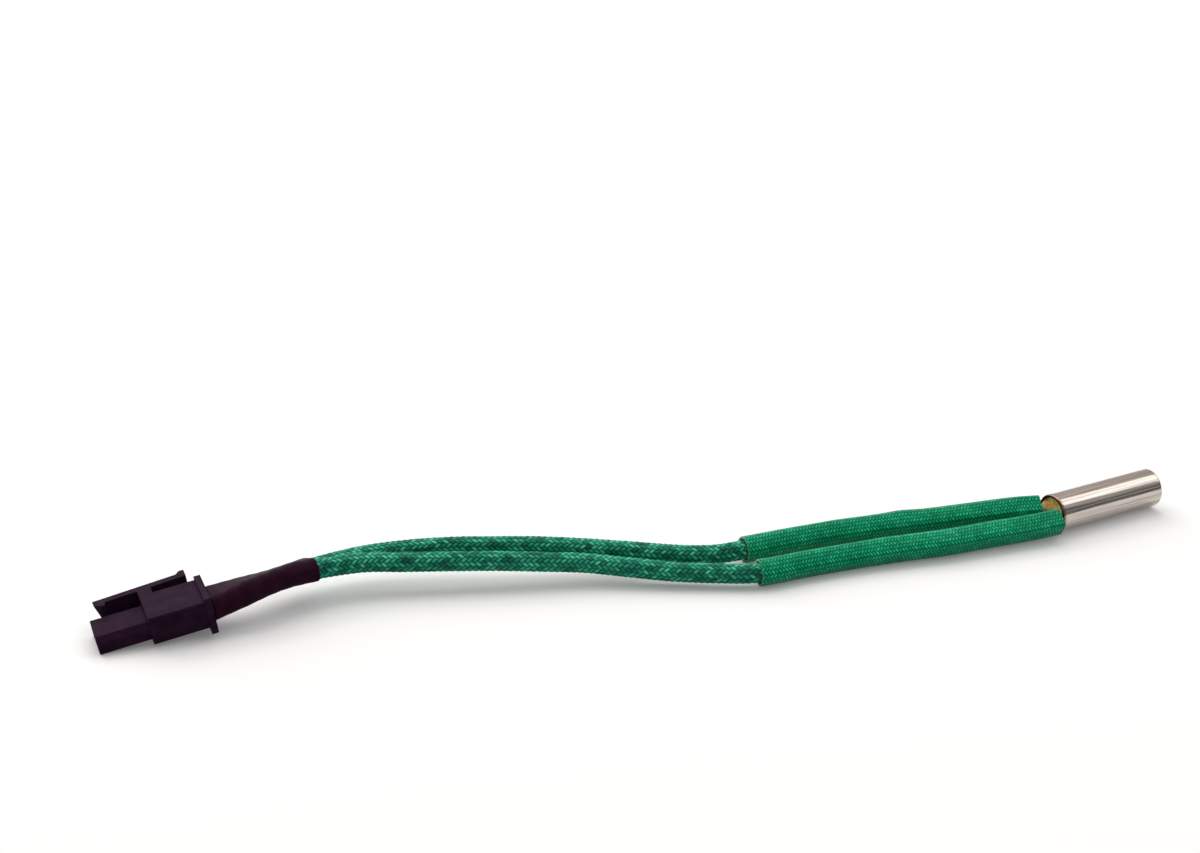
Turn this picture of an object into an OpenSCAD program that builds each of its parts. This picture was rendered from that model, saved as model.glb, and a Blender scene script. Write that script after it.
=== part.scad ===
// Cartridge heater on two braided leads that end in a two-way plug-in connector.
// The sheath lies along X on the surface z = 0, with its closed tip at +X and its mouth at -X.

/* [Sheath] */
// Outside diameter of the sheath
sheath_d = 6; // [5.6:0.1:7]
// Length of the sheath
sheath_len = 20; // [16:0.5:40]
// Wall of the sheath
sheath_wall = 0.5; // [0.3:0.05:0.6]
// Radius of the rounded edge at the tip
tip_round = 0.45; // [0.2:0.05:0.5]
// Bevel on the outer edge of the open mouth
rim_bevel = 0.15; // [0.05:0.05:0.25]
// Thickness of the disc welded into the tip
end_disc_t = 0.8; // [0.5:0.1:1.5]
// Depth of the weld disc below the end of the tip
disc_recess = 0.1; // [0:0.05:0.3]

/* [Inside] */
// Depth of the cement plug below the rim of the mouth
potting_recess = 0.3; // [0.1:0.1:1.5]
// Length of the cement plug
potting_len = 2.5; // [1.5:0.1:4]
// Thickness of the packed powder between the winding and the sheath
fill_wall = 0.3; // [0.2:0.05:0.4]
// Diameter of the pins that carry the current through the core
pin_d = 0.8; // [0.5:0.1:1]
// Distance between the two pins
pin_pitch = 2; // [1.6:0.1:2.2]
// Length of core left beyond the ends of the pins
pin_stop = 3.5; // [1:0.5:5]
// Diameter of the resistance wire
coil_wire_d = 0.25; // [0.15:0.05:0.3]
// Turns of the resistance wire
coil_turns = 13; // [6:1:20]
// Bare length of the core at each end of the winding
coil_margin = 1; // [0.5:0.1:2]
// Thickness of the ceramic disc behind the tip
end_insulator_t = 1.2; // [0.6:0.1:2]
// Gap between pieces that are pressed or packed together
pack_gap = 0.02; // [0.01:0.01:0.04]

/* [Leads] */
// Diameter of the insulated wire
wire_d = 1.4; // [1.2:0.1:1.5]
// Distance between the two wires where they leave the mouth
wire_pitch = 3; // [2.8:0.1:3.1]
// Tilt of the pair of wires about the sheath's axis, with the back one higher
pair_tilt = 13; // [0:1:30]
// Diameter of the braided lead
lead_d = 3; // [2.6:0.1:3]
// Outside diameter of the sleeve over each lead
sleeve_d = 4; // [3.8:0.1:4]
// Gap between a lead and the tube around it
tube_gap = 0.12; // [0.1:0.02:0.16]
// Wall of the shrink tube behind the connector
shrink_wall = 0.15; // [0.1:0.05:0.3]
// Gap between the shrink tube and the leads that it holds
shrink_fit = 0.1; // [0.08:0.01:0.15]
// Radius of each half of the shrink tube's bore at the connector
shrink_end_r = 1.65; // [1.2:0.05:1.8]
// Gap between the shrink tube and the back of the connector
shrink_gap = 0.15; // [0.1:0.05:1]

/* [Connector] */
// Distance between the two circuits
circuit_pitch = 3; // [2.8:0.1:3.2]
// Length of the nose
nose_len = 7.4; // [6:0.1:10]
// Width of the nose along the row of circuits
nose_w = 6.1; // [6:0.1:6.6]
// Thickness of the nose
nose_t = 2.6; // [2.5:0.1:3.2]
// Shift of the nose and the circuits towards the keyed side
nose_shift = 0.1; // [0:0.05:0.3]
// Drop of the nose and the circuits below the middle of the body
nose_drop = 0.2; // [0:0.05:0.3]
// Bevel on the one corner that keys the nose
key_bevel = 0.8; // [0.4:0.05:0.9]
// Length of the body
body_len = 8; // [6:0.1:10]
// Width of the body along the row of circuits
body_w = 7.7; // [7.2:0.1:8.4]
// Thickness of the body
body_t = 4.3; // [4:0.1:5]
// Depth of the slanted relief along the lower edge of the nose
nose_relief_depth = 0.3; // [0.2:0.05:0.4]
// Height of the slanted relief along the lower edge of the nose
nose_relief_h = 1.5; // [0.5:0.1:1.6]
// Depth of the slanted relief along the lower edge of the body
relief_depth = 0.5; // [0.2:0.05:0.6]
// Height of the slanted relief along the lower edge of the body
relief_h = 1.3; // [0.5:0.1:1.8]
// Length of the flange along the axis
flange_len = 0.95; // [0.5:0.05:1.5]
// Lip of the flange above the body
flange_top_lip = 0.5; // [0.2:0.05:0.8]
// Lip of the flange below the body
flange_low_lip = 0.85; // [0.3:0.05:1]
// Lip of the flange on the keyed side of the body
flange_near_lip = 0.2; // [0.1:0.05:0.8]
// Lip of the flange on the latch side of the body
flange_far_lip = 0.1; // [0.05:0.05:0.6]
// Bevel on the moulded edges
edge_bevel = 0.2; // [0.1:0.05:0.4]
// Gap between each cavity and the crimped barrel in it
barrel_gap = 0.03; // [0.02:0.01:0.06]
// Thickness of the wall at the front of the nose
front_wall = 0.8; // [0.5:0.1:1.5]
// Side of each square entry through the front wall
entry_side = 1.1; // [0.9:0.1:1.4]
// Depth of the lead-in taper of each entry
entry_taper = 0.35; // [0.1:0.05:0.4]
// Tilt of the connector, with its back held up by the leads
connector_tilt = 8.5; // [4:0.5:10]

/* [Latch] */
// Distance of the latch's front end behind the front of the nose
latch_setback = 1.1; // [0.8:0.1:2]
// Length of the latch
latch_len = 13.5; // [12:0.1:14]
// Width of the latch arm
latch_w = 3.6; // [2.4:0.1:4]
// Lift of the latch arm above the middle of the body
latch_lift = 0.3; // [0.1:0.05:0.4]
// Thickness of the latch arm
latch_t = 1.25; // [0.8:0.05:1.5]
// Gap between the body and the latch arm at its front end
latch_gap = 1.05; // [0.9:0.05:1.8]
// Rise of the latch arm from its front end to its rear end
latch_rise = 0.95; // [0:0.05:1.2]
// Length of the web that joins the latch to the body
web_len = 2; // [1.5:0.1:3]
// Depth of the hook at the front of the latch
hook_depth = 0.7; // [0.3:0.1:0.9]
// Length of the hook
hook_len = 1.6; // [1:0.1:2]
// Slant of the hook's lead-in along the axis
hook_slant = 0.9; // [0.4:0.1:1]
// Setback of the latch's lower front corner behind the upper one
tip_slant = 1.2; // [0:0.1:1.5]
// Height of the thumb ridge at the rear of the latch
thumb_h = 0.7; // [0.2:0.05:0.9]
// Length of the thumb ridge
thumb_len = 1.3; // [0.8:0.1:2]
// Slant of the thumb ridge's front along the axis
thumb_slant = 0.6; // [0.2:0.1:0.8]

/* [Contacts] */
// Gap between each cavity and the contact's square box
contact_gap = 0.1; // [0.05:0.01:0.2]
// Length of the contact's box
contact_box_len = 5.2; // [4:0.1:6]
// Wall of the contact's sheet metal
contact_wall = 0.15; // [0.1:0.01:0.2]
// Length of the crimped barrel on the wire
barrel_len = 3; // [2:0.1:3.5]
// Length of the wire that the barrel grips
crimp_len = 2; // [1:0.1:2]
// Length of the neck between the box and the barrel
neck_len = 1.4; // [0.8:0.1:2]

/* [Hidden] */
$fn = 64;
eps = 0.01;
cord_sides = 8;
coil_sides = 6;
coil_steps = 10;
axis_z = sheath_d / 2;
bore_d = sheath_d - 2 * sheath_wall;
mouth_x = -10;
core_start = potting_recess + potting_len;
disc_start = sheath_len - disc_recess - end_disc_t;
core_len = disc_start - end_insulator_t - core_start;
fill_bore_d = bore_d - 2 * (pack_gap + fill_wall);
winding_d = fill_bore_d - coil_wire_d - 2 * pack_gap;
core_d = winding_d - coil_wire_d - 2 * pack_gap;
coil_len = core_len - 2 * coil_margin;
pin_len = core_len - pin_stop;
connector_len = nose_len + body_len + flange_len;
body_front = -flange_len - body_len;
nose_front = -connector_len;
latch_front = nose_front + latch_setback;
flange_w = body_w + flange_near_lip + flange_far_lip;
flange_t = body_t + flange_top_lip + flange_low_lip;
// The connector stands on its nose, latch, body or flange, whichever reaches lowest at its tilt
function reach_below(from_back, depth) = from_back * sin(connector_tilt) + depth * cos(connector_tilt);
nose_reach = reach_below(connector_len, nose_drop + nose_t / 2);
latch_reach = reach_below(-latch_front, latch_w / 2 - latch_lift);
body_reach = reach_below(-body_front, body_t / 2);
flange_reach = reach_below(flange_len, body_t / 2 + flange_low_lip);
connector_clear = 0.03;
connector_z = connector_clear + max(nose_reach, latch_reach, body_reach, flange_reach);
connector_at = [-133.5, 34.5, connector_z];
connector_heading = -9;
barrel_bore = wire_d + 2 * pack_gap;
barrel_d = barrel_bore + 2 * contact_wall;
cavity_side = barrel_d + 2 * barrel_gap;
contact_side = cavity_side - 2 * contact_gap;
contact_front = nose_front + front_wall + pack_gap;
barrel_front = contact_front + contact_box_len + neck_len;
wire_stop = barrel_front + barrel_len - crimp_len;
shrink_turn = 8;

// Routes of the leads, from the mouth end of the sleeve to inside the shrink tube
back_route = [
    [-10.9, 2, 3.4], [-15, 3.6, 3.3], [-21, 5.5, 3], [-27.5, 7.6, 2.7], [-34, 10, 2.4],
    [-41, 12, 2.2], [-49, 13.5, 2.1], [-57, 14.4, 2.1], [-62, 15.2, 2.2], [-67.5, 17, 2.8],
    [-73.5, 19.8, 3.6], [-79.5, 22.7, 4.3], [-85.5, 25.7, 4.8], [-91.5, 28.7, 5], [-97, 31.6, 5],
    [-103, 34.3, 4.8], [-109.6, 36.6, 4.35], [-117.5, 37.25, 3.9],
    [-121.9, 36.65, 3.85], [-126.8, 35.65, 4.15]];
front_route = [
    [-10.4, -2.1, 2.6], [-15.5, -1.4, 2.5], [-22, -0.2, 2.4], [-29.5, 1.1, 2.3], [-36.5, 3, 2.2],
    [-43.5, 4.6, 2.1], [-51, 5.8, 2.1], [-59.2, 6.9, 2.1], [-64.2, 9.5, 2.1], [-70, 13, 2.3],
    [-75.5, 16.6, 2.8], [-81, 20, 3.4], [-87, 22.7, 3.9], [-93, 25.5, 4.3], [-99, 28.3, 4.5],
    [-105, 31, 4.7], [-110.6, 33.3, 5], [-117.5, 34.1, 5.25], [-121.9, 33.75, 5.4], [-127, 32.6, 5.3]];
// Points where the bare wires bend from the mouth towards their sleeves
back_bend = [-12.2, 2.1, 3.35];
front_bend = [-12.5, -1.6, 2.6];
sleeve_last = 7;
shrink_first = 17;

function unit(v) = v / norm(v);
function tangent(route, i) = unit(route[min(i + 1, len(route) - 1)] - route[max(i - 1, 0)]);
function tangents(route) = [for (i = [0 : len(route) - 1]) tangent(route, i)];
function slice(list, first, last) = [for (i = [first : last]) list[i]];
function side_of(dir) = unit(cross(dir, [0, 0, 1]));
function ring(centre, dir, d) =
    let (across = side_of(dir), above = cross(across, dir))
    [for (k = [0 : cord_sides - 1])
        let (turn = 360 * (k + 0.5) / cord_sides)
        centre + d / 2 * (cos(turn) * across + sin(turn) * above)];
function flat(lists) = [for (list = lists) each list];
function band(n, from, to) = flat([for (k = [0 : n - 1])
    let (next = (k + 1) % n) [[from + k, to + k, to + next], [from + k, to + next, from + next]]]);
function bands(n, rings, first = 0) =
    flat([for (i = [0 : rings - 2]) band(n, first + i * n, first + (i + 1) * n)]);
function reversed(faces) = [for (face = faces) [face[2], face[1], face[0]]];

// Closed tube through rings of n points
module solid_sweep(rings) {
    n = len(rings[0]);
    last = (len(rings) - 1) * n;
    start_cap = [for (k = [0 : n - 1]) k];
    end_cap = [for (k = [n - 1 : -1 : 0]) last + k];
    polyhedron(flat(rings), concat([start_cap], bands(n, len(rings)), [end_cap]));
}

// Open tube between outer and inner rings of n points
module hollow_sweep(outer, inner) {
    n = len(outer[0]);
    shell = len(outer) * n;
    last = (len(outer) - 1) * n;
    start_rim = reversed(band(n, 0, shell));
    end_rim = band(n, last, shell + last);
    polyhedron(
        concat(flat(outer), flat(inner)),
        concat(bands(n, len(outer)), reversed(bands(n, len(inner), shell)), start_rim, end_rim));
}

module cord(points, dirs, d) {
    solid_sweep([for (i = [0 : len(points) - 1]) ring(points[i], dirs[i], d)]);
}

module sleeve(route) {
    dirs = tangents(route);
    color("seagreen") hollow_sweep(
        [for (i = [0 : sleeve_last]) ring(route[i], dirs[i], sleeve_d)],
        [for (i = [0 : sleeve_last]) ring(route[i], dirs[i], lead_d + 2 * tube_gap)]);
}

module lead(route) {
    last = len(route) - 1;
    color("green") cord(slice(route, 1, last), slice(tangents(route), 1, last), lead_d);
}

// Places a shape along the sheath's axis, measured from the mouth
module on_axis(from_mouth = 0) {
    translate([mouth_x + from_mouth, 0, axis_z]) rotate([0, 90, 0]) children();
}

// Places a shape on the back wire's line (side 1) or the front wire's line (side -1)
module on_pair(from_mouth, side, pitch) {
    on_axis(from_mouth) rotate([0, 0, pair_tilt]) translate([0, side * pitch / 2, 0]) children();
}

module sheath() {
    r = sheath_d / 2;
    color("silver") on_axis() rotate_extrude() {
        polygon([[bore_d / 2, 0], [r - rim_bevel, 0], [r, rim_bevel],
            [r, sheath_len - tip_round], [r - tip_round, sheath_len - tip_round],
            [r - tip_round, sheath_len], [bore_d / 2, sheath_len]]);
        translate([r - tip_round, sheath_len - tip_round]) intersection() {
            circle(tip_round);
            square(tip_round);
        }
    }
}

module end_disc() {
    color("silver") on_axis(disc_start) cylinder(h = end_disc_t, d = bore_d - 2 * pack_gap);
}

module end_insulator() {
    color("white") on_axis(disc_start - end_insulator_t)
        cylinder(h = end_insulator_t, d = bore_d - 2 * pack_gap);
}

module core() {
    color("ivory") difference() {
        on_axis(core_start) cylinder(h = core_len, d = core_d);
        for (side = [-1, 1])
            on_pair(core_start - eps, side, pin_pitch)
                cylinder(h = core_len + 2 * eps, d = pin_d + 2 * pack_gap);
    }
}

// Resistance wire wound on the core
module heating_coil() {
    count = coil_turns * coil_steps;
    rise = coil_len - coil_wire_d;
    r = winding_d / 2;
    rings = [for (i = [0 : count])
        let (turn = 360 * i / coil_steps, z = coil_wire_d / 2 + rise * i / count)
        [for (k = [0 : coil_sides - 1])
            let (spin = 360 * k / coil_sides, reach = r + coil_wire_d / 2 * cos(spin))
            [reach * cos(turn), reach * sin(turn), z - coil_wire_d / 2 * sin(spin)]]];
    color("dimgray") on_axis(core_start + coil_margin) solid_sweep(rings);
}

module magnesia_fill() {
    color("gainsboro") on_axis(core_start) difference() {
        cylinder(h = core_len, d = bore_d - 2 * pack_gap);
        translate([0, 0, -eps]) cylinder(h = core_len + 2 * eps, d = fill_bore_d);
    }
}

module mouth_potting() {
    color("tan") difference() {
        on_axis(potting_recess) cylinder(h = potting_len, d = bore_d - 2 * pack_gap);
        for (side = [-1, 1])
            on_pair(potting_recess - eps, side, wire_pitch)
                cylinder(h = potting_len + 2 * eps, d = wire_d + 2 * pack_gap);
    }
}

module pin(side) {
    color("darkgray") on_pair(core_start, side, pin_pitch) cylinder(h = pin_len, d = pin_d);
}

// Insulated wire from the core's face through the potting to the end of its braided lead
module mouth_wire(side, bend, route) {
    y = side * wire_pitch / 2 * cos(pair_tilt);
    z = axis_z + side * wire_pitch / 2 * sin(pair_tilt);
    along = [-1, 0, 0];
    mouth = [mouth_x, y, z];
    points = [[mouth_x + core_start, y, z], mouth, bend, route[1]];
    color("white") cord(points, [along, along, unit(route[1] - mouth), tangent(route, 1)], wire_d);
}

// The connector's own frame: +X out of its back, +Y to the latch, origin at the back of the flange
module in_connector() {
    translate(connector_at) rotate([0, -connector_tilt, connector_heading]) children();
}

function connector_axis() = [
    cos(connector_tilt) * cos(connector_heading),
    cos(connector_tilt) * sin(connector_heading),
    sin(connector_tilt)];
function connector_across() = [-sin(connector_heading), cos(connector_heading), 0];
function connector_up() = cross(connector_axis(), connector_across());
function circuit_point(side, along) =
    connector_at + along * connector_axis() + (side * circuit_pitch / 2 - nose_shift) * connector_across()
    - nose_drop * connector_up();

// Insulated wire from the end of its braided lead into the crimp of its contact
module tail_wire(side, route) {
    last = len(route) - 1;
    inward = -connector_axis();
    points = [route[last], circuit_point(side, shrink_gap), circuit_point(side, wire_stop)];
    color("white") cord(points, [tangent(route, last), inward, inward], wire_d);
}

// Points round both leads or both wires, as a ring of two half circles
function pair_ring(back, front, dir, r) =
    let (across = unit(back - front), above = cross(dir, across))
    flat([for (end = [[back, 90], [front, 270]])
        [for (k = [0 : shrink_turn])
            let (turn = end[1] - 180 * k / shrink_turn)
            end[0] + r * (cos(turn) * across + sin(turn) * above)]]);

module shrink_tube() {
    last = len(back_route) - 1;
    lead_r = lead_d / 2 + shrink_fit;
    back_end = circuit_point(1, shrink_gap);
    front_end = circuit_point(-1, shrink_gap);
    backs = concat(slice(back_route, shrink_first, last), [(back_route[last] + back_end) / 2, back_end]);
    fronts = concat(slice(front_route, shrink_first, last), [(front_route[last] + front_end) / 2, front_end]);
    radii = [lead_r, lead_r, lead_r, (lead_r + shrink_end_r) / 2, shrink_end_r];
    dirs = tangents((backs + fronts) / 2);
    color("black") hollow_sweep(
        [for (i = [0 : len(radii) - 1]) pair_ring(backs[i], fronts[i], dirs[i], radii[i] + shrink_wall)],
        [for (i = [0 : len(radii) - 1]) pair_ring(backs[i], fronts[i], dirs[i], radii[i])]);
}

// Block along X with a section in Y and Z
module along_x(from, length) {
    translate([from, 0, 0]) rotate([90, 0, 90]) linear_extrude(length) children();
}

// Rectangle with bevelled corners, of which those at -Y can be keyed above and relieved below
module bevelled(w, t, key = edge_bevel, relief = [edge_bevel, edge_bevel]) {
    y = w / 2;
    z = t / 2;
    polygon([
        [-y, relief[1] - z], [relief[0] - y, -z], [y - edge_bevel, -z], [y, edge_bevel - z],
        [y, z - edge_bevel], [y - edge_bevel, z], [key - y, z], [-y, z - key]]);
}

// Distance of the latch arm's inner face from the connector's axis
function arm(x) = body_w / 2 + latch_gap + latch_rise * (x - latch_front) / latch_len;

// Side view of the latch: web, arm, hook at the front and thumb ridge at the rear
module latch_outline() {
    rear = latch_front + latch_len;
    hook_end = latch_front + hook_len;
    hook_tip = arm(latch_front) - hook_depth;
    web_root = body_w / 2 - edge_bevel;
    web_end = body_front + web_len;
    thumb_start = rear - thumb_len;
    thumb_top = arm(rear) + latch_t + thumb_h;
    polygon([
        [latch_front, arm(latch_front) + latch_t], [latch_front, arm(latch_front)],
        [latch_front + hook_slant, hook_tip], [hook_end, hook_tip], [hook_end, arm(hook_end)],
        [body_front, arm(body_front)], [body_front, web_root], [web_end, web_root], [web_end, arm(web_end)],
        [rear, arm(rear)], [rear, thumb_top], [thumb_start + thumb_slant, thumb_top],
        [thumb_start, arm(thumb_start) + latch_t]]);
}

module latch() {
    low = latch_lift - latch_w / 2;
    top = latch_lift + latch_w / 2;
    far = arm(latch_front + latch_len) + latch_t + thumb_h;
    intersection() {
        translate([0, 0, low]) linear_extrude(latch_w) latch_outline();
        translate([0, far, 0]) rotate([90, 0, 0]) linear_extrude(far)
            polygon([[latch_front, top], [latch_front + tip_slant, low], [0, low], [0, top]]);
    }
}

// Places a shape on the middle of the nose
module on_nose() {
    translate([0, -nose_shift, -nose_drop]) children();
}

module cavity(side) {
    on_nose() translate([0, side * circuit_pitch / 2, 0]) {
        translate([nose_front + front_wall, -cavity_side / 2, -cavity_side / 2])
            cube([connector_len - front_wall + eps, cavity_side, cavity_side]);
        translate([nose_front - eps, -entry_side / 2, -entry_side / 2])
            cube([front_wall + 2 * eps, entry_side, entry_side]);
        translate([nose_front, 0, 0]) rotate([0, 90, 0]) rotate([0, 0, 45])
            cylinder(h = entry_taper, d1 = (entry_side + 2 * entry_taper) * sqrt(2),
                d2 = entry_side * sqrt(2), $fn = 4);
    }
}

// One moulding: keyed nose, relieved body, flange and sprung latch
module housing() {
    color("#1b1620") in_connector() difference() {
        union() {
            on_nose() along_x(nose_front, nose_len + eps)
                bevelled(nose_w, nose_t, key_bevel, [nose_relief_depth, nose_relief_h]);
            along_x(body_front, body_len + eps)
                bevelled(body_w, body_t, relief = [relief_depth, relief_h]);
            translate([0, (flange_far_lip - flange_near_lip) / 2, (flange_top_lip - flange_low_lip) / 2])
                along_x(-flange_len, flange_len) bevelled(flange_w, flange_t);
            latch();
        }
        for (side = [-1, 1]) cavity(side);
    }
}

// Sheet-metal socket: square box, neck strip and crimped barrel
module contact(side) {
    half = contact_side / 2;
    inside = contact_side - 2 * contact_wall;
    neck_w = contact_side / 2;
    color("gold") in_connector() on_nose() translate([0, side * circuit_pitch / 2, 0]) {
        difference() {
            translate([contact_front, -half, -half]) cube([contact_box_len, contact_side, contact_side]);
            translate([contact_front - eps, -inside / 2, -inside / 2])
                cube([contact_box_len - contact_wall + eps, inside, inside]);
        }
        translate([contact_front + contact_box_len - eps, -neck_w / 2, -half])
            cube([neck_len + contact_wall + 2 * eps, neck_w, contact_wall]);
        difference() {
            translate([barrel_front, 0, 0]) rotate([0, 90, 0]) cylinder(h = barrel_len, d = barrel_d);
            translate([wire_stop - pack_gap, 0, 0]) rotate([0, 90, 0])
                cylinder(h = barrel_len, d = barrel_bore);
        }
    }
}

sheath();
end_disc();
end_insulator();
core();
heating_coil();
magnesia_fill();
mouth_potting();
pin(-1);  // pin_front
pin(1);  // pin_back
mouth_wire(-1, front_bend, front_route);  // wire_front
mouth_wire(1, back_bend, back_route);  // wire_back
lead(front_route);  // lead_front
lead(back_route);  // lead_back
sleeve(front_route);  // sleeve_front
sleeve(back_route);  // sleeve_back
shrink_tube();
tail_wire(-1, front_route);  // tail_front
tail_wire(1, back_route);  // tail_back
housing();
contact(-1);  // contact_front_circuit
contact(1);  // contact_back_circuit
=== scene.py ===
"""Looks of the cartridge heater: steel sheath, green sleeved and braided leads, black connector."""
import math

import bpy
import numpy as np
from mathutils import Matrix, Vector


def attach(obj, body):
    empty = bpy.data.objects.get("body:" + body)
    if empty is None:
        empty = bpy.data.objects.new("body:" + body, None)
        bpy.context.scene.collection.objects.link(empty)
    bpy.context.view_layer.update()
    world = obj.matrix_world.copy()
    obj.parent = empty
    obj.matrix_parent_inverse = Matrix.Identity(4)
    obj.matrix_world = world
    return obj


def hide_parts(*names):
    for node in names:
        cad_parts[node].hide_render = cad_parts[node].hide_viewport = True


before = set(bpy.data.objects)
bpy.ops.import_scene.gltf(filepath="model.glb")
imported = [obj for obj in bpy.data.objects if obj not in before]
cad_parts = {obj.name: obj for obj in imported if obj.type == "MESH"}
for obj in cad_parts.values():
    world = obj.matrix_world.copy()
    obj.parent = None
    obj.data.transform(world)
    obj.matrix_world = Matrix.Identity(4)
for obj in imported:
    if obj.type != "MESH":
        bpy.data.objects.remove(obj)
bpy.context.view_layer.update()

MM = 0.001

# The two sides of the pair of leads, as signs across it
BACK, FRONT = 1, -1

# Camera, in the row frame
PHOTO_W = 1200
FOCAL_PX = 2214.5
SENSOR_MM = 36
CLIP_M = (0.01, 20)
CAMERA_MM = (-222.714, -233.521, 148.369)
CAMERA_FORWARD = (0.45518, 0.80009, -0.39073)

# Sizes are in millimetres and repeat those of the CAD solids

# Heater
SHEATH_D = 6
SHEATH_LEN = 20
SHEATH_WALL = 0.5
TIP_ROUND = 0.45
RIM_BEVEL = 0.15
MOUTH_X = -10
POTTING_RECESS = 0.3
POTTING_LEN = 2.5
CORE_START = POTTING_RECESS + POTTING_LEN
WIRE_D = 1.4
WIRE_PITCH = 3
PAIR_TILT = math.radians(13)

# Leads: braid over each wire, with a sleeve near the heater and a shrink tube near the connector
LEAD_D = 3
SLEEVE_D = 4
TUBE_GAP = 0.12
SHRINK_WALL = 0.15
SHRINK_FIT = 0.1
SHRINK_END_R = 1.65
SHRINK_GAP = 0.15
SLEEVE_LAST = 7
SHRINK_FIRST = 17
BACK_ROUTE = [
    (-10.9, 2, 3.4), (-15, 3.6, 3.3), (-21, 5.5, 3), (-27.5, 7.6, 2.7), (-34, 10, 2.4),
    (-41, 12, 2.2), (-49, 13.5, 2.1), (-57, 14.4, 2.1), (-62, 15.2, 2.2), (-67.5, 17, 2.8),
    (-73.5, 19.8, 3.6), (-79.5, 22.7, 4.3), (-85.5, 25.7, 4.8), (-91.5, 28.7, 5), (-97, 31.6, 5),
    (-103, 34.3, 4.8), (-109.6, 36.6, 4.35), (-117.5, 37.25, 3.9), (-121.9, 36.65, 3.85),
    (-126.8, 35.65, 4.15)]
FRONT_ROUTE = [
    (-10.4, -2.1, 2.6), (-15.5, -1.4, 2.5), (-22, -0.2, 2.4), (-29.5, 1.1, 2.3), (-36.5, 3, 2.2),
    (-43.5, 4.6, 2.1), (-51, 5.8, 2.1), (-59.2, 6.9, 2.1), (-64.2, 9.5, 2.1), (-70, 13, 2.3),
    (-75.5, 16.6, 2.8), (-81, 20, 3.4), (-87, 22.7, 3.9), (-93, 25.5, 4.3), (-99, 28.3, 4.5),
    (-105, 31, 4.7), (-110.6, 33.3, 5), (-117.5, 34.1, 5.25), (-121.9, 33.75, 5.4),
    (-127, 32.6, 5.3)]
BACK_BEND = (-12.2, 2.1, 3.35)
FRONT_BEND = (-12.5, -1.6, 2.6)

# Connector, standing on its nose with its back held up by the leads
CIRCUIT_PITCH = 3
NOSE_T = 2.6
NOSE_SHIFT = 0.1
NOSE_DROP = 0.2
CONNECTOR_LEN = 16.35
CONNECTOR_TILT = math.radians(8.5)
CONNECTOR_HEADING = math.radians(-9)
CONNECTOR_CLEAR = 0.03
CONNECTOR_X, CONNECTOR_Y = -133.5, 34.5
WIRE_STOP = -7.93

# Sizes that only the looks have

# Point on its circuit's line that keeps each tail wire straight in the connector
TAIL_STRAIGHT = -3

# Points per span of a route, and per span and round the outside of a plain wire
SPAN_STEPS = 24
WIRE_STEPS = 12
WIRE_SIDES = 32

# Weaves: strands round the cord, length of one crossing, mesh steps per crossing
LEAD_WEAVE = (14, 0.85, 6)
SLEEVE_WEAVE = (20, 0.52, 5)
LEAD_RELIEF = 0.18
SLEEVE_RELIEF = 0.05

# Sleeves: exponents of the rounded square in the section, its mean share there, and how much that
# share rises on the camera side and falls on the far side
SQUARE_AT_HEATER = 5
SQUARE_AT_END = 2.4
SQUARE_SHARE = 0.6
SQUARE_SHIFT = 0.4
# Crease along the camera side: angle from the far side over the top, and how it wanders
CREASE = math.radians(170)
CREASE_WANDER = 0.15
CREASE_WAVE = 5
# Swelling and waves of the section, as shares of its radius
SWELL = 0.015
WAVE_DEPTH = 0.012
WAVE = 9
WAVE_SKEW = 2
# Humps on top: share of the sleeve's length, share of its radius
BACK_HUMPS = [(0.46, 0.09), (0.68, 0.03)]
FRONT_HUMPS = [(0.6, 0.03)]
HUMP_SPREAD = 0.05
INNER_ROW_STEP = 8

# Cement: climb along each wire, spread round it, exponent of its fall, and grain
CEMENT_CLIMB = {BACK: 0.75, FRONT: 0.35}
CEMENT_SPREAD = 0.35
CEMENT_FALL = 1.5
CEMENT_GRAIN = 0.04

# Sheath: length of the browned steel at the mouth, bevel of the bore, and the point that rounds the
# rim's outer bevel
HEAT_TINT_LEN = 0.7
BORE_BEVEL = 0.06
RIM_ROUND = (0.03, 0.07)

# Rounding of the housing: its width, the distance at which points are one, the angle up to which
# faces are joined, and the angle from which edges are rounded
HOUSING_BEVEL = 0.09
SAME_POINT = 0.001
FLAT_ANGLE = math.radians(1)
EDGE_ANGLE = math.radians(25)

# Floor: half its width in metres, the range of its shade, and the share of that shade which lights
# the object from below
FLOOR_HALF_M = 3
FLOOR_SHADE = (0.82, 0.83)
FLOOR_BOUNCE = 0.68
# Share of white that the camera sees on the floor besides its lit colour, the distance in metres at
# which it sees white alone, and the share of that distance at which the rise starts
FLOOR_LIFT = 0.12
FLOOR_FADE = 0.8
FLOOR_RISE = 0.3

# Range that most of a noise texture's values fall in
NOISE_LOW, NOISE_HIGH = 0.3, 0.7


def linear(red, green, blue):
    """An sRGB colour in 0 to 255 as linear RGBA."""
    def channel(value):
        value /= 255
        return value / 12.92 if value <= 0.04045 else ((value + 0.055) / 1.055) ** 2.4
    return (channel(red), channel(green), channel(blue), 1)


def grey(value):
    return (value, value, value, 1)


def add_object(name, data):
    obj = bpy.data.objects.new(name, data)
    bpy.context.scene.collection.objects.link(obj)
    return obj


def aim(obj, direction):
    """Turns a camera or a lamp to look along a direction."""
    obj.rotation_mode = "QUATERNION"
    obj.rotation_quaternion = Vector(direction).to_track_quat("-Z", "Y")


def make_camera():
    data = bpy.data.cameras.new("camera")
    data.sensor_fit = "HORIZONTAL"
    data.sensor_width = SENSOR_MM
    data.lens = FOCAL_PX * SENSOR_MM / PHOTO_W
    data.clip_start, data.clip_end = CLIP_M
    camera = add_object("camera", data)
    camera.location = Vector(CAMERA_MM) * MM
    aim(camera, CAMERA_FORWARD)
    bpy.context.scene.camera = camera


# Curves and sweeps, in millimetres

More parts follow.
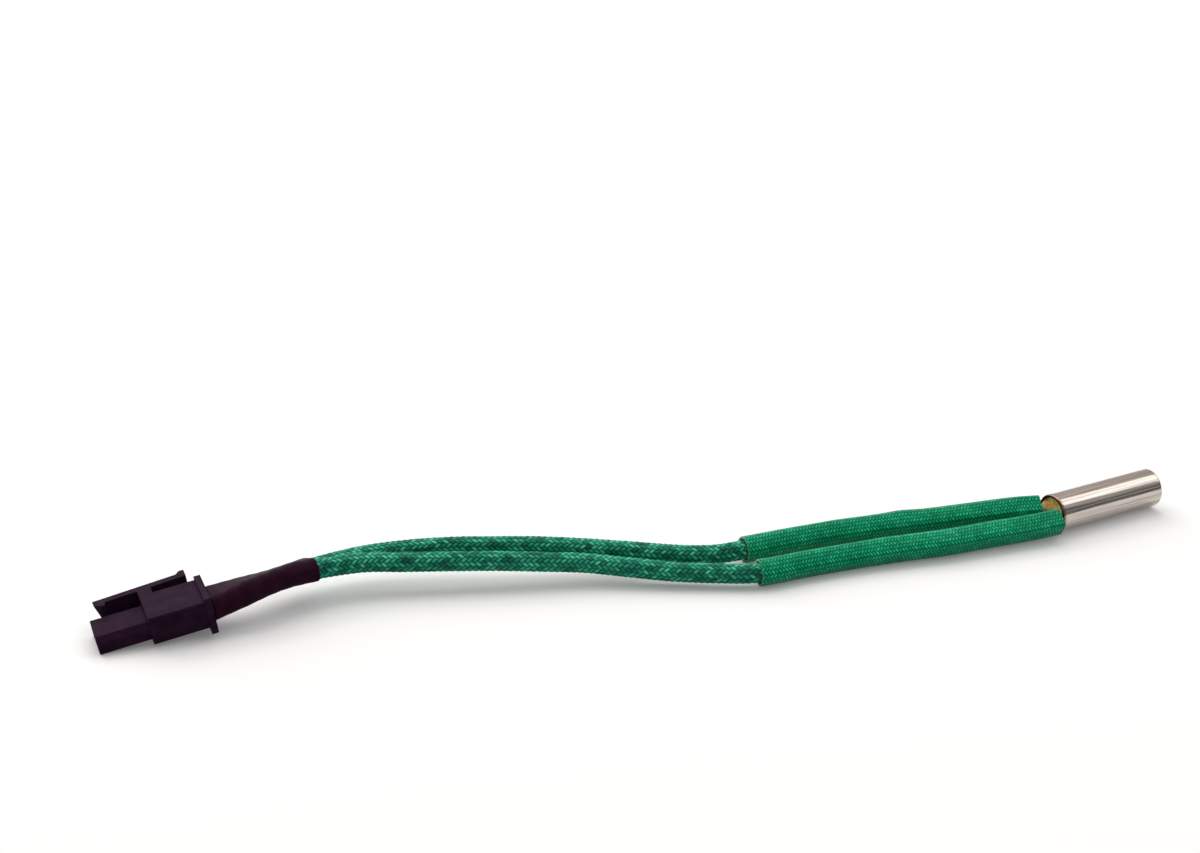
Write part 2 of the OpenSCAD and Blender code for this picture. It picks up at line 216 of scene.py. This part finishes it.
def smooth_line(points, per_span=SPAN_STEPS):
    """A Catmull-Rom curve through points."""
    p = np.array(points, float)
    padded = np.vstack([2 * p[0] - p[1], p, 2 * p[-1] - p[-2]])
    t = np.linspace(0, 1, per_span, endpoint=False)[:, None]
    spans = []
    for i in range(len(p) - 1):
        a, b, c, d = padded[i:i + 4]
        spans.append(0.5 * (2 * b + (c - a) * t + (2 * a - 5 * b + 4 * c - d) * t ** 2
                            + (3 * b - a - 3 * c + d) * t ** 3))
    return np.vstack(spans + [p[-1:]])


def travelled(line):
    """The distance along a line at each of its points."""
    steps = np.linalg.norm(np.diff(line, axis=0), axis=1)
    return np.concatenate([[0], np.cumsum(steps)])


def resampled(line, count):
    """The line at count evenly spaced points."""
    along = travelled(line)
    even = np.linspace(0, along[-1], count)
    return np.column_stack([np.interp(even, along, line[:, k]) for k in range(3)])


def unit(vectors):
    return vectors / np.linalg.norm(vectors, axis=-1, keepdims=True)


def full_turn(columns):
    return 2 * math.pi * np.arange(columns) / columns


def swept(line, radius, columns):
    """Rings of points round a line that never runs straight up.

    radius is a number or an array by row and column.
    """
    tangents = unit(np.gradient(line, axis=0))
    across = unit(np.cross(tangents, (0, 0, 1)))
    above = np.cross(across, tangents)
    turn = full_turn(columns)[None, :, None]
    offset = np.cos(turn) * across[:, None] + np.sin(turn) * above[:, None]
    return line[:, None] + offset * np.broadcast_to(radius, (len(line), columns))[..., None]


def ring_faces(rows, columns, first=0, flip=False):
    """Quads between successive rings of points."""
    j, i = np.meshgrid(np.arange(rows - 1), np.arange(columns), indexing="ij")
    following = (i + 1) % columns
    corners = [j * columns + i, j * columns + following,
               (j + 1) * columns + following, (j + 1) * columns + i]
    quads = np.stack(corners, -1).reshape(-1, 4) + first
    return quads[:, ::-1] if flip else quads


def end_fans(rows, columns, count):
    """Fans that close both ends of a swept cord; their centres are points count and count + 1."""
    last = (rows - 1) * columns
    start = [(count, i, (i + 1) % columns) for i in range(columns)]
    end = [(count + 1, last + (i + 1) % columns, last + i) for i in range(columns)]
    return start + end


def tube_faces(rows, inner_rows, columns, flip):
    """Skins of an open tube whose inner points follow its outer ones, and its two rims."""
    shell = rows * columns
    last = shell - columns
    inner_last = shell + (inner_rows - 1) * columns
    skins = [*ring_faces(rows, columns, flip=flip),
             *ring_faces(inner_rows, columns, shell, not flip)]
    rims = []
    for i in range(columns):
        k = (i + 1) % columns
        rims.append((i, k, shell + k, shell + i))
        rims.append((last + k, last + i, inner_last + i, inner_last + k))
    return skins, rims if flip else [rim[::-1] for rim in rims]


def mesh_piece(name, points_mm, faces, material, attributes=None):
    """A smooth-shaded mesh object from points in millimetres."""
    mesh = bpy.data.meshes.new(name)
    mesh.from_pydata((np.asarray(points_mm) * MM).tolist(), [], [list(map(int, f)) for f in faces])
    for key, values in (attributes or {}).items():
        layer = mesh.attributes.new(key, "FLOAT", "POINT")
        layer.data.foreach_set("value", np.asarray(values, np.float32).ravel())
    mesh.validate()
    mesh.polygons.foreach_set("use_smooth", [True] * len(mesh.polygons))
    mesh.materials.append(material)
    piece = add_object(name, mesh)
    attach(piece, "root")
    return piece


def hashed(*integers):
    """A steady pseudo-random number from 0 to 1 for each set of integers."""
    mixed = np.zeros(np.shape(integers[0]), np.int64)
    for factor, value in zip((73856093, 19349663, 83492791), integers):
        mixed ^= np.asarray(value, np.int64) * factor
    mixed = (mixed ^ (mixed >> 13)) * 1274126177 & 0x7FFFFFFF
    return ((mixed ^ (mixed >> 16)) & 0xFFFF) / 0xFFFF


def weave(rows, columns, sub):
    """Height and tone of a braid in which each strand passes over two and under two."""
    j, i = np.meshgrid(np.arange(rows), np.arange(columns), indexing="ij")
    right, left = i + j, i - j
    a, b = right // sub, left // sub
    across_right, across_left = (right % sub) / sub, (left % sub) / sub
    place = (a + b) % 4
    right_on_top = place < 2
    across = np.where(right_on_top, across_right, across_left)
    progress = np.where(right_on_top, place + across_left, place - 2 + across_right) / 2
    strand_round, dive_round, dive_floor = 0.6, 0.7, 0.25
    dive = dive_floor + (1 - dive_floor) * np.sin(np.pi * progress) ** dive_round
    height = np.sin(np.pi * across) ** strand_round * dive
    left_strands = 100003  # keeps their numbers apart from those of the strands that run right
    strand = np.where(right_on_top, a, b + left_strands)
    return height, hashed(strand, (a + b) // 4)


def woven(line, strands, pick, sub):
    """The line at each row of a weave's mesh, and the weave's height and tone."""
    rows = round(travelled(line)[-1] / (pick / sub)) + 1
    return resampled(line, rows), *weave(rows, strands * sub, sub)


# Materials

class Nodes:
    """Shorthand for the node tree of a material or a world."""

    def __init__(self, tree):
        self.nodes, self.links = tree.nodes, tree.links

    def add(self, kind, **values):
        """A new node; each value goes to the input of its name, or else to the property."""
        node = self.nodes.new(kind)
        for key, value in values.items():
            if key in node.inputs:
                node.inputs[key].default_value = value
            else:
                setattr(node, key, value)
        return node

    def feed(self, value, socket):
        """Links an output to a socket, or sets a plain value there."""
        if isinstance(value, bpy.types.NodeSocket):
            self.links.new(value, socket)
        else:
            socket.default_value = value

    def split(self, vector):
        node = self.add("ShaderNodeSeparateXYZ")
        self.feed(vector, node.inputs["Vector"])
        return node.outputs

    def ramp(self, source, stops):
        node = self.add("ShaderNodeValToRGB")
        elements = node.color_ramp.elements
        while len(elements) < len(stops):
            elements.new(0.5)
        for element, (position, colour) in zip(elements, stops):
            element.position = position
            element.color = colour
        self.feed(source, node.inputs["Fac"])
        return node.outputs["Color"]

    def mix(self, factor, a, b, blend="MIX"):
        node = self.add("ShaderNodeMix", data_type="RGBA", blend_type=blend)
        for key, value in (("Factor", factor), ("A", a), ("B", b)):
            self.feed(value, node.inputs[key])
        return node.outputs["Result"]

    def math(self, operation, a, b):
        node = self.add("ShaderNodeMath", operation=operation)
        for socket, value in zip(node.inputs, (a, b)):
            self.feed(value, socket)
        return node.outputs[0]

    def plus(self, a, b):
        return self.math("ADD", a, b)

    def times(self, a, b):
        return self.math("MULTIPLY", a, b)


class Shader(Nodes):
    """A node material with one Principled shader."""

    def __init__(self, name, **inputs):
        self.material = bpy.data.materials.new(name)
        self.material.use_nodes = True
        super().__init__(self.material.node_tree)
        self.base = self.nodes["Principled BSDF"]
        for key, value in inputs.items():
            self.into(value, key.replace("_", " "))

    def into(self, value, socket):
        self.feed(value, self.base.inputs[socket])

    def attribute(self, name):
        return self.add("ShaderNodeAttribute", attribute_name=name).outputs["Fac"]

    def object_coordinates(self, scale=(1, 1, 1)):
        place = self.add("ShaderNodeTexCoord")
        mapping = self.add("ShaderNodeMapping", Scale=scale)
        self.feed(place.outputs["Object"], mapping.inputs["Vector"])
        return mapping.outputs["Vector"]

    def noise(self, per_metre, detail=4, stretch=(1, 1, 1), roughness=0.5):
        texture = self.add(
            "ShaderNodeTexNoise", Scale=per_metre, Detail=detail, Roughness=roughness)
        self.feed(self.object_coordinates(stretch), texture.inputs["Vector"])
        return texture.outputs["Fac"]

    def mottled(self, noise, dark, light):
        return self.ramp(noise, [(NOISE_LOW, dark), (NOISE_HIGH, light)])

    def colour(self, noise, dark, light):
        self.into(self.mottled(noise, dark, light), "Base Color")

    def gloss(self, noise, smooth, rough):
        self.into(self.mottled(noise, grey(smooth), grey(rough)), "Roughness")

    def bump(self, height, strength, distance_mm):
        node = self.add("ShaderNodeBump", Strength=strength, Distance=distance_mm * MM)
        self.feed(height, node.inputs["Height"])
        self.into(node.outputs["Normal"], "Normal")


def braid_material():
    """Green yarn in patches and strands of different tone, with painted shade between the strands.
    """
    s = Shader("lead_braid", Roughness=0.6, Specular_IOR_Level=0.2, Specular_Tint=(0.6, 1, 0.85, 1))
    tone = s.plus(s.times(s.attribute("tone"), 0.42), s.times(s.noise(420, detail=2), 0.5))
    # Painted shade: the colour darkens where the weave's height is low, between the strands
    lit = s.times(tone, s.plus(s.times(s.attribute("height"), 0.75), 0.25))
    threads = s.times(s.noise(9000, detail=2), 0.3)
    s.into(s.ramp(s.plus(threads, s.math("SUBTRACT", lit, 0.06)), [
        (0.1, linear(0, 40, 34)), (0.28, linear(8, 97, 76)),
        (0.5, linear(36, 156, 121)), (0.78, linear(108, 224, 180))]), "Base Color")
    s.bump(s.noise(7000, detail=2), strength=0.35, distance_mm=0.06)
    return s.material


def sleeve_material():
    """Varnished green weave, with painted shade between the strands."""
    s = Shader("sleeve_varnish", Specular_IOR_Level=0.12, Specular_Tint=(0.3, 1, 0.7, 1))
    tone = s.plus(s.times(s.attribute("tone"), 0.15), s.times(s.noise(260), 0.25))
    # Painted shade: the colour darkens where the weave's height is low, between the strands
    s.into(s.ramp(s.plus(tone, s.times(s.attribute("height"), 0.65)), [
        (0.3, linear(0, 70, 46)), (0.56, linear(6, 142, 97)),
        (0.78, linear(28, 182, 132)), (0.95, linear(104, 222, 178))]), "Base Color")
    s.gloss(s.noise(900, detail=3), 0.34, 0.48)
    s.bump(s.noise(5200, detail=3), strength=0.25, distance_mm=0.05)
    return s.material


def cut_edge_material():
    s = Shader("sleeve_cut_edge", Roughness=0.7, Specular_IOR_Level=0.2)
    s.colour(s.noise(2500, detail=3), linear(70, 140, 112), linear(150, 190, 170))
    s.bump(s.noise(6000, detail=2), strength=0.5, distance_mm=0.06)
    return s.material


def steel_material():
    """Drawn steel with lengthwise streaks, browned by heat at the mouth."""
    s = Shader("sheath_steel", Metallic=1)
    drawn = (0.05, 1, 1)
    streaks = s.ramp(s.noise(3000, detail=5, stretch=(0.02, 1, 1), roughness=0.65), [
        (0.35, (0.36, 0.315, 0.28, 1)), (0.65, (0.68, 0.62, 0.575, 1))])
    from_mouth = s.math("SUBTRACT", s.split(s.object_coordinates())["X"], MOUTH_X * MM)
    heat = s.ramp(s.math("DIVIDE", from_mouth, HEAT_TINT_LEN * MM), [
        (0.02, (0.3, 0.25, 0.22, 1)), (0.25, (0.42, 0.35, 0.3, 1)),
        (0.6, (0.85, 0.78, 0.72, 1)), (1, grey(1))])
    s.into(s.mix(1, streaks, heat, blend="MULTIPLY"), "Base Color")
    s.gloss(s.noise(2400, stretch=drawn), 0.09, 0.16)
    s.bump(s.noise(5200, detail=3, stretch=drawn), strength=0.08, distance_mm=0.02)
    return s.material


def cement_material():
    s = Shader("mouth_cement", Roughness=0.85, Specular_IOR_Level=0.2)
    s.into(s.ramp(s.noise(1500, detail=6, roughness=0.65), [
        (0.3, linear(178, 126, 56)), (0.5, linear(250, 196, 112)),
        (0.7, linear(255, 230, 162))]), "Base Color")
    s.bump(s.noise(3500, detail=5), strength=0.7, distance_mm=0.14)
    return s.material


def insulation_material():
    s = Shader("wire_insulation", Roughness=0.45, Specular_IOR_Level=0.35)
    s.colour(s.noise(700), linear(168, 166, 154), linear(200, 198, 188))
    s.bump(s.noise(3000, detail=3), strength=0.12, distance_mm=0.04)
    return s.material


def shrink_material():
    s = Shader("shrink_film", Specular_IOR_Level=0.025, Specular_Tint=(0.9, 0.4, 0.6, 1))
    s.colour(s.noise(500), linear(33, 12, 26), linear(47, 21, 39))
    s.gloss(s.noise(900), 0.42, 0.6)
    s.bump(s.noise(2600), strength=0.25, distance_mm=0.05)
    return s.material


def nylon_material():
    s = Shader("connector_nylon", Specular_IOR_Level=0.012, Specular_Tint=(0.85, 0.4, 0.85, 1))
    s.colour(s.noise(420), linear(37, 19, 36), linear(49, 29, 49))
    s.gloss(s.noise(1500), 0.4, 0.54)
    s.bump(s.noise(5200), strength=0.12, distance_mm=0.04)
    return s.material


def metal_material(name, dark, light, rough):
    s = Shader(name, Metallic=1)
    s.colour(s.noise(600, detail=3), dark, light)
    s.gloss(s.noise(1800, detail=3), rough, rough + 0.14)
    return s.material


def mineral_material(name, dark, light, rough):
    s = Shader(name, Specular_IOR_Level=0.3)
    s.colour(s.noise(1100, detail=5), dark, light)
    s.gloss(s.noise(1800, detail=3), rough, rough + 0.1)
    s.bump(s.noise(4000), strength=0.3, distance_mm=0.05)
    return s.material


def floor_material():
    """Pale floor with the shadow, lifted to white where the camera or a reflection sees it."""
    s = Shader("floor", Roughness=0.9, Specular_IOR_Level=0, Emission_Color=grey(1))
    rays = s.add("ShaderNodeLightPath").outputs
    seen = s.math("MAXIMUM", rays["Is Camera Ray"],
                  s.math("MAXIMUM", rays["Is Glossy Ray"], rays["Is Transmission Ray"]))
    shade = s.mottled(s.noise(6, detail=2), *map(grey, FLOOR_SHADE))
    share = s.plus(FLOOR_BOUNCE, s.times(seen, 1 - FLOOR_BOUNCE))
    s.into(s.times(shade, share), "Base Color")
    distance = s.add("ShaderNodeVectorMath", operation="LENGTH")
    s.feed(s.object_coordinates(), distance.inputs[0])
    lift = s.ramp(s.math("DIVIDE", distance.outputs["Value"], FLOOR_FADE), [
        (FLOOR_RISE, grey(FLOOR_LIFT)), (1, grey(1))])
    s.into(s.times(seen, lift), "Emission Strength")
    return s.material


# Cords

def closed_cord(name, line, radius, columns, material, attributes=None):
    """A cord with closed ends; attributes hold a value for each point of its rings."""
    points = swept(line, radius, columns).reshape(-1, 3)
    faces = [*ring_faces(len(line), columns, flip=True), *end_fans(len(line), columns, len(points))]
    values = {key: np.append(on_rings, [0, 0]) for key, on_rings in (attributes or {}).items()}
    return mesh_piece(name, np.vstack([points, line[:1], line[-1:]]), faces, material, values)


def braided_lead(name, route, material):
    """A braid from the route's second point to its last, and the line that it follows."""
    line, height, tone = woven(smooth_line(route)[SPAN_STEPS:], *LEAD_WEAVE)
    radius = LEAD_D / 2 - LEAD_RELIEF + LEAD_RELIEF * height
    attributes = {"height": height, "tone": tone}
    return closed_cord(name, line, radius, height.shape[1], material, attributes), line


def plain_wire(name, points, material):
    return closed_cord(name, smooth_line(points, WIRE_STEPS), WIRE_D / 2, WIRE_SIDES, material)


def sleeve_section(rows, columns, humps):
    """A sleeve's radius by row and column, as a share of a round one's."""
    along = np.linspace(0, 1, rows)[:, None]
    turn = full_turn(columns)
    square = SQUARE_AT_HEATER + (SQUARE_AT_END - SQUARE_AT_HEATER) * along
    corner = turn - CREASE + CREASE_WANDER * np.sin(CREASE_WAVE * along) + math.pi / 4
    squared = (np.abs(np.cos(corner)) ** square + np.abs(np.sin(corner)) ** square) ** (-1 / square)
    squared /= 2 ** (0.5 - 1 / square)
    near_side = SQUARE_SHARE + SQUARE_SHIFT * np.cos(turn - CREASE)
    waves = WAVE_DEPTH * np.sin(WAVE * along + WAVE_SKEW * np.sin(turn))
    swell = 1 + SWELL * (1 + near_side) - waves
    for place, size in humps:
        hump = size * np.exp(-((along - place) / HUMP_SPREAD) ** 2)
        swell = swell + hump * np.maximum(0, np.sin(turn))
    return (1 - (1 - squared) * near_side) * swell


def sleeve(name, route, humps, material, edge):
    """A woven tube with pale cut rims, squarer and creased towards the heater."""
    line, height, tone = woven(smooth_line(route)[:SPAN_STEPS * SLEEVE_LAST + 1], *SLEEVE_WEAVE)
    rows, columns = height.shape
    inner_rows = rows // INNER_ROW_STEP
    radius = SLEEVE_D / 2 - SLEEVE_RELIEF + SLEEVE_RELIEF * height
    outer = swept(line, radius * sleeve_section(rows, columns, humps), columns)
    inner = swept(resampled(line, inner_rows), LEAD_D / 2 + TUBE_GAP, columns)
    skins, rims = tube_faces(rows, inner_rows, columns, flip=True)
    plain = np.zeros(inner_rows * columns)
    inner_tone = 0.5
    piece = mesh_piece(name, np.vstack([outer, inner]).reshape(-1, 3), skins + rims, material, {
        "height": np.append(height, plain), "tone": np.append(tone, plain + inner_tone)})
    piece.data.materials.append(edge)
    marks = np.zeros(len(piece.data.polygons), np.int32)
    marks[len(skins):] = 1
    piece.data.polygons.foreach_set("material_index", marks)
    return piece


def connector_matrix():
    tilt = Matrix.Rotation(-CONNECTOR_TILT, 4, "Y")
    heading = Matrix.Rotation(CONNECTOR_HEADING, 4, "Z")
    height = (CONNECTOR_CLEAR + CONNECTOR_LEN * math.sin(CONNECTOR_TILT)
              + (NOSE_DROP + NOSE_T / 2) * math.cos(CONNECTOR_TILT))
    return Matrix.Translation((CONNECTOR_X, CONNECTOR_Y, height)) @ heading @ tilt


def circuit_point(side, along):
    """A point on a circuit's line, in millimetres behind the connector's back face."""
    place = Vector((along, side * CIRCUIT_PITCH / 2 - NOSE_SHIFT, -NOSE_DROP))
    return tuple(connector_matrix() @ place)


def mouth_point(side, depth):
    """A point on a wire's line in the heater, in millimetres from its mouth."""
    reach = side * WIRE_PITCH / 2
    height = SHEATH_D / 2 + reach * math.sin(PAIR_TILT)
    return (MOUTH_X + depth, reach * math.cos(PAIR_TILT), height)


def shrink_tube(material):
    """A film drawn tight over both leads, with a shallow groove between them."""
    stations, columns = 96, 72
    flare_start = 0.5
    shoulder = 6
    groove_depth, groove_width = 0.02, 0.55
    wrinkle_depth, wrinkle_turns, wrinkle_skew = 0.018, 23 / 3, 2
    inner_scale = 0.9

    def station_points(side, route):
        end = circuit_point(side, SHRINK_GAP)
        halfway = tuple((np.array(route[-1]) + np.array(end)) / 2)
        return resampled(smooth_line(route[SHRINK_FIRST:] + [halfway, end]), stations)

    backs, fronts = station_points(BACK, BACK_ROUTE), station_points(FRONT, FRONT_ROUTE)
    centre = (backs + fronts) / 2
    across = unit(backs - fronts)
    above = np.cross(unit(np.gradient(centre, axis=0)), across)
    half = np.linalg.norm(backs - fronts, axis=1)[:, None] / 2
    along = np.linspace(0, 1, stations)[:, None]
    flare = np.clip((along - flare_start) / (1 - flare_start), 0, 1)
    lead_r = LEAD_D / 2 + SHRINK_FIT + SHRINK_WALL
    end_r = SHRINK_END_R + SHRINK_WALL
    radius = lead_r + (end_r - lead_r) * flare * flare * (3 - 2 * flare)
    turn = full_turn(columns)
    cosine, sine = np.cos(turn), np.sin(turn)
    sign = np.where(cosine >= 0, 1, -1)
    reach = radius * cosine + half * sign * np.minimum(1, np.abs(cosine) * shoulder)
    waist = 1 - groove_depth * np.exp(-(reach / (groove_width * radius)) ** 2)
    wrinkle = wrinkle_depth * np.sin(
        wrinkle_turns * 2 * math.pi * along + wrinkle_skew * np.sin(turn * 2))
    rise = (radius * waist + wrinkle) * sine
    offset = across[:, None] * reach[..., None] + above[:, None] * rise[..., None]
    outer, inner = (centre[:, None] + offset * scale for scale in (1, inner_scale))
    skins, rims = tube_faces(stations, stations, columns, flip=False)
    points = np.vstack([outer, inner]).reshape(-1, 3)
    return mesh_piece("shrink_film_tube", points, skins + rims, material)


# Rigid pieces

def lathe(name, profile, material, columns=160):
    """A closed ring turned about the sheath's axis.

    profile holds pairs of distance from the mouth and radius.
    """
    turn = full_turn(columns)
    points = [(MOUTH_X + x, r * math.cos(t), SHEATH_D / 2 + r * math.sin(t))
              for x, r in profile for t in turn]
    last = (len(profile) - 1) * columns
    closing = [(last + i, last + (i + 1) % columns, (i + 1) % columns, i) for i in range(columns)]
    return mesh_piece(name, points, [*ring_faces(len(profile), columns), *closing], material)


def sheath_piece(material):
    """The steel tube, with rings close to its edges so that it is shaded flat between them."""
    edge_ring, side_start, bore_ring = 0.4, 1, 0.5
    side_rings, tip_rings = 24, 10
    r = SHEATH_D / 2
    bore = r - SHEATH_WALL
    rim = [(BORE_BEVEL, bore), (0, bore + BORE_BEVEL), (0, r - RIM_BEVEL),
           (RIM_ROUND[0], r - RIM_ROUND[1]), (RIM_BEVEL, r), (edge_ring, r)]
    side = [(x, r) for x in np.linspace(side_start, SHEATH_LEN - side_start, side_rings)]
    tip = [(SHEATH_LEN + TIP_ROUND * (math.sin(a) - 1), r + TIP_ROUND * (math.cos(a) - 1))
           for a in np.linspace(0, math.pi / 2, tip_rings)]
    inside = [(SHEATH_LEN, bore), (SHEATH_LEN - bore_ring, bore), (SHEATH_LEN / 2, bore)]
    return lathe("sheath_tube", rim + side + tip + inside, material)


def cement_plug(material):
    """Cement in the mouth: a grainy face that climbs a little way up each wire."""
    rings, columns = 36, 96
    bore = SHEATH_D / 2 - SHEATH_WALL
    j, i = np.meshgrid(np.arange(rings), np.arange(columns), indexing="ij")
    radius = bore * (j + 0.5) / (rings - 0.5)
    turn = -2 * math.pi * i / columns
    y, z = radius * np.cos(turn), SHEATH_D / 2 + radius * np.sin(turn)
    x = MOUTH_X + POTTING_RECESS + CEMENT_GRAIN * (hashed(i, j) - 0.5)
    for side, climb in CEMENT_CLIMB.items():
        _, wire_y, wire_z = mouth_point(side, 0)
        from_wire = np.maximum(0, np.hypot(y - wire_y, z - wire_z) - WIRE_D / 2)
        x -= climb * np.exp(-(from_wire / CEMENT_SPREAD) ** CEMENT_FALL)
    back = MOUTH_X + CORE_START
    face = np.stack([x, y, z], -1)
    rear = face[-1:] * (0, 1, 1) + (back, 0, 0)
    points = np.vstack([face, rear]).reshape(-1, 3)
    faces = [*ring_faces(rings + 1, columns, flip=True), *end_fans(rings + 1, columns, len(points))]
    centres = [face[0].mean(axis=0), (back, 0, SHEATH_D / 2)]
    return mesh_piece("mouth_cement", np.vstack([points, centres]), faces, material)


def dress(node, material, bevel_mm=0):
    """Gives a CAD node its material and softens its moulded edges."""
    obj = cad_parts[node]
    obj.data.materials.clear()
    obj.data.materials.append(material)
    if bevel_mm:
        weld = obj.modifiers.new("one_skin", "WELD")
        weld.merge_threshold = SAME_POINT * MM
        flat = obj.modifiers.new("flat_faces", "DECIMATE")
        flat.decimate_type = "DISSOLVE"
        flat.angle_limit = FLAT_ANGLE
        soft = obj.modifiers.new("soft_edges", "BEVEL")
        soft.width = bevel_mm * MM
        soft.segments = 2
        soft.limit_method = "ANGLE"
        soft.angle_limit = EDGE_ANGLE
        soft.harden_normals = True


# Stage and light

def make_floor():
    far = FLOOR_HALF_M
    mesh = bpy.data.meshes.new("floor")
    corners = [(-far, -far, 0), (far, -far, 0), (far, far, 0), (-far, far, 0)]
    mesh.from_pydata(corners, [], [(0, 1, 2, 3)])
    mesh.materials.append(floor_material())
    add_object("floor", mesh)


def area_light(name, location, target, size, power):
    data = bpy.data.lights.new(name, "AREA")
    data.shape = "RECTANGLE"
    data.size, data.size_y = size
    data.energy = power
    light = add_object(name, data)
    light.location = location
    aim(light, Vector(target) - Vector(location))


def make_world():
    """White to the camera; for the steel a plain far side, and bands on the near side."""
    world = bpy.data.worlds.new("studio")
    bpy.context.scene.world = world
    world.use_nodes = True
    tree = Nodes(world.node_tree)
    direction = tree.split(tree.add("ShaderNodeTexCoord").outputs["Generated"])
    low_band, high_band = (0.1, 0.085, 0.075, 1), (0.12, 0.1, 0.09, 1)
    near_side = tree.ramp(direction["Z"], [
        (0, grey(0.3)), (0.13, grey(0.26)), (0.16, low_band), (0.2, low_band), (0.24, grey(0.42)),
        (0.3, grey(0.42)), (0.34, high_band), (0.38, high_band), (0.44, grey(0.36)),
        (0.6, grey(0.5)), (1, grey(0.5))])
    to_far_side = tree.add("ShaderNodeMapRange", **{"From Min": -0.3, "From Max": 0.1})
    tree.feed(direction["Y"], to_far_side.inputs["Value"])
    surround = tree.mix(to_far_side.outputs["Result"], near_side, (0.6, 0.56, 0.53, 1))
    to_camera = tree.add("ShaderNodeLightPath").outputs["Is Camera Ray"]
    background = tree.nodes["Background"]
    tree.feed(tree.mix(to_camera, surround, grey(1)), background.inputs["Color"])
    background.inputs["Strength"].default_value = 1


make_camera()

braid, varnish, edge = braid_material(), sleeve_material(), cut_edge_material()
white, film = insulation_material(), shrink_material()
nylon, steel, cement = nylon_material(), steel_material(), cement_material()
tinned = metal_material("contact_metal", (0.62, 0.5, 0.3, 1), (0.74, 0.63, 0.4, 1), 0.26)
faced = metal_material("end_steel", (0.47, 0.42, 0.38, 1), (0.58, 0.53, 0.49, 1), 0.24)
nickel = metal_material("pin_nickel", (0.5, 0.47, 0.42, 1), (0.62, 0.58, 0.53, 1), 0.3)
coil = metal_material("coil_wire", (0.22, 0.2, 0.19, 1), (0.32, 0.3, 0.28, 1), 0.42)
ceramic = mineral_material("ceramic", linear(222, 216, 200), linear(240, 236, 224), 0.5)
magnesia = mineral_material("magnesia", linear(214, 212, 206), linear(232, 230, 226), 0.85)

pieces = {}
lines = {}
for key, side, route, bend, humps in (
        ("back", BACK, BACK_ROUTE, BACK_BEND, BACK_HUMPS),
        ("front", FRONT, FRONT_ROUTE, FRONT_BEND, FRONT_HUMPS)):
    pieces["lead_" + key], lines[key] = braided_lead("braided_lead_" + key, route, braid)
    pieces["sleeve_" + key] = sleeve("green_sleeve_" + key, route, humps, varnish, edge)
    in_heater = [mouth_point(side, depth) for depth in (CORE_START, CORE_START / 2, 0)]
    pieces["wire_" + key] = plain_wire("mouth_wire_" + key, in_heater + [bend, route[1]], white)
    in_connector = [circuit_point(side, along) for along in (SHRINK_GAP, TAIL_STRAIGHT, WIRE_STOP)]
    pieces["tail_" + key] = plain_wire("tail_wire_" + key, route[-1:] + in_connector, white)
pieces["shrink_tube"] = shrink_tube(film)
pieces["sheath"] = sheath_piece(steel)
pieces["mouth_potting"] = cement_plug(cement)

# Material slot by the first word of the node
SLOTS = {"lead": "lead_braid", "sleeve": "sleeving", "wire": "wire_insulation",
         "tail": "wire_insulation", "shrink": "shrink_film", "sheath": "sheath_steel",
         "mouth": "cement"}
for node, piece in pieces.items():
    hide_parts(node)
    SLOTS[node.split("_")[0]]

dress("housing", nylon, HOUSING_BEVEL)
for node, material in {
        "contact_front_circuit": tinned, "contact_back_circuit": tinned, "end_disc": faced,
        "core": ceramic, "end_insulator": ceramic, "magnesia_fill": magnesia,
        "pin_front": nickel, "pin_back": nickel, "heating_coil": coil}.items():
    dress(node, material)

make_floor()
make_world()
# Lights: place, target and size in metres, power in watts
cord_middle = (-0.06, 0.018, 0)
area_light("overhead", (-0.05, 0.4, 0.7), cord_middle, (1, 0.7), 3.7)
area_light("behind", (-0.15, 0.8, 0.42), cord_middle, (0.9, 0.6), 2.9)
area_light("beside", (0.52, -0.12, 0.66), (0, 0, 0), (0.5, 0.6), 1.25)
bpy.context.scene.view_settings.view_transform = "Standard"
